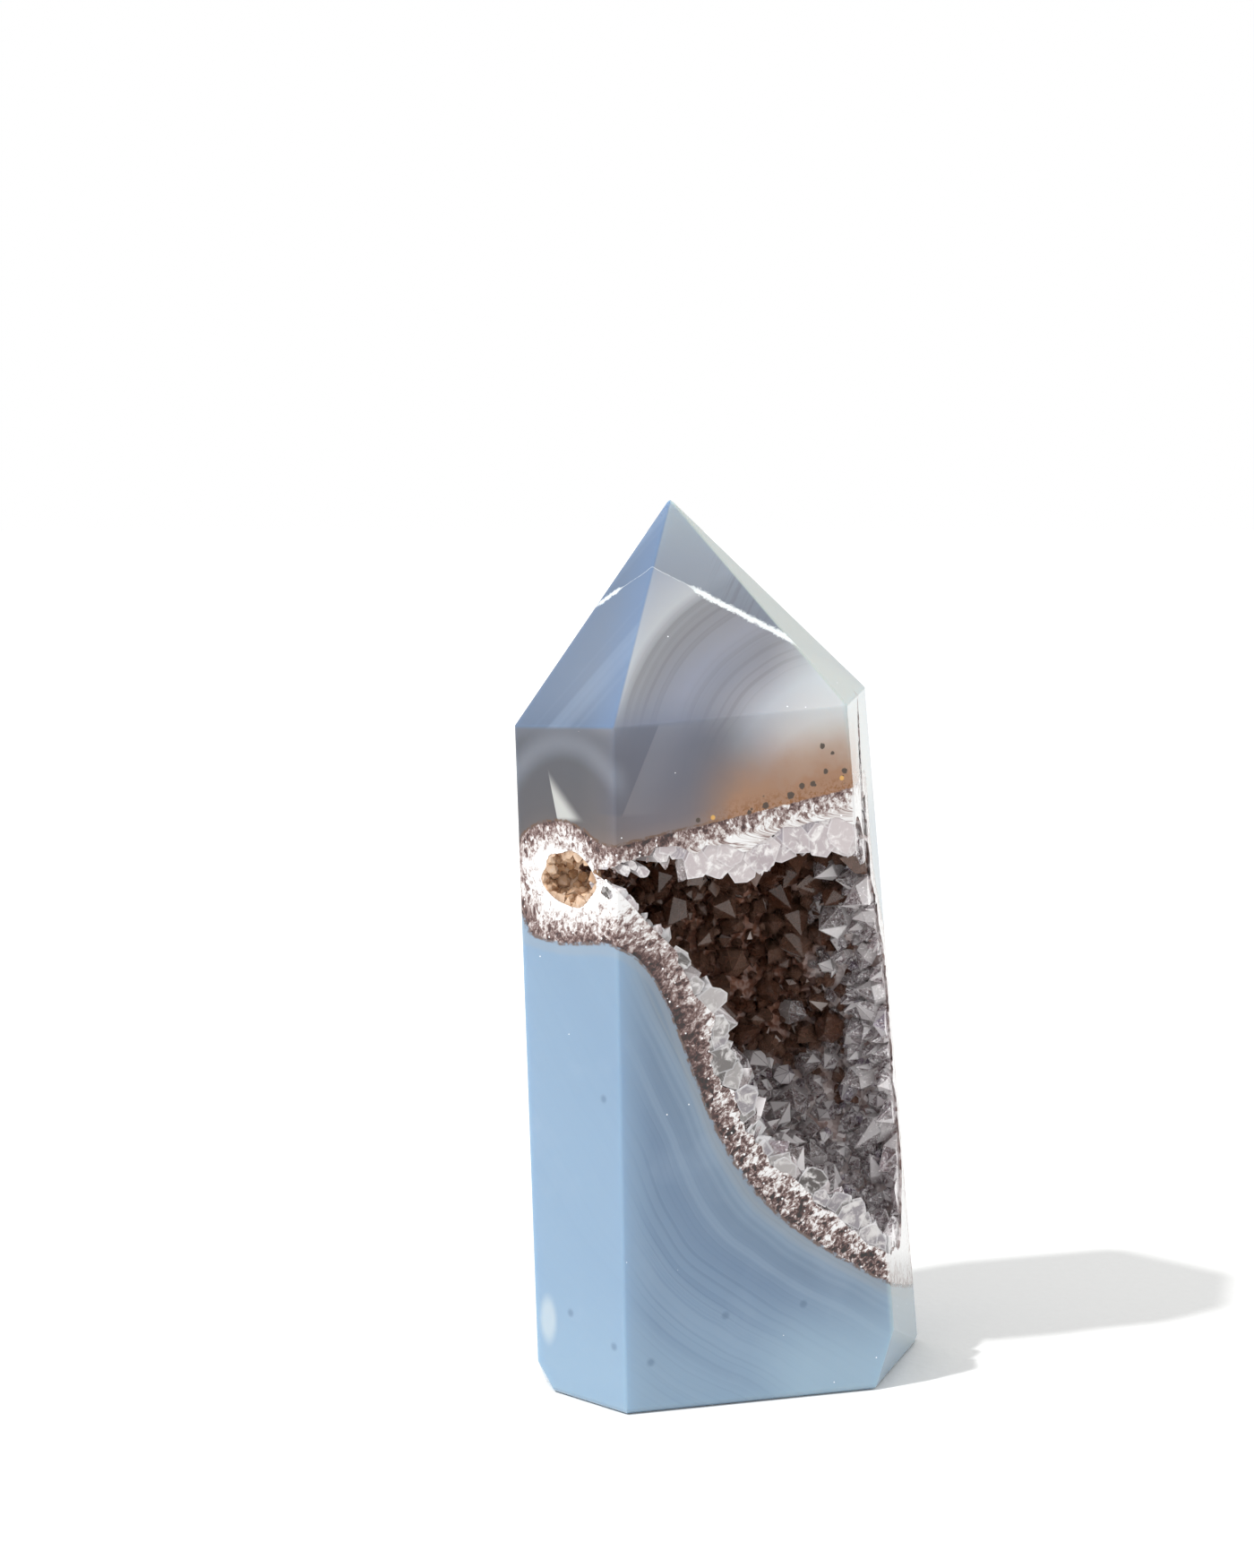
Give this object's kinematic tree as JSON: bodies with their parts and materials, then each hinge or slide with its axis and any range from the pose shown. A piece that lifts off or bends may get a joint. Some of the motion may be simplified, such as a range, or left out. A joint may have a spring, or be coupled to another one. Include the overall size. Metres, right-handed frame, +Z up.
{
  "type": "polished agate tower with amethyst druse",
  "caption": "Polished hexagonal tower of banded agate with a pointed top, an open hollow lined with quartz points, and a flat base that it stands on.",
  "frame": {"origin": "on the surface that the stone stands on, under the middle of its box", "axes": "+Z up towards the tip; the large hollow opens through the facets that face -Y and +X"},
  "size_m": [0.0469, 0.0402, 0.0997],
  "materials": {
    "agate": "polished",
    "quartz": "clear crystal faces"
  },
  "bodies": {
    "root": {"amethyst_tower": "agate"}
  },
  "joints": []
}
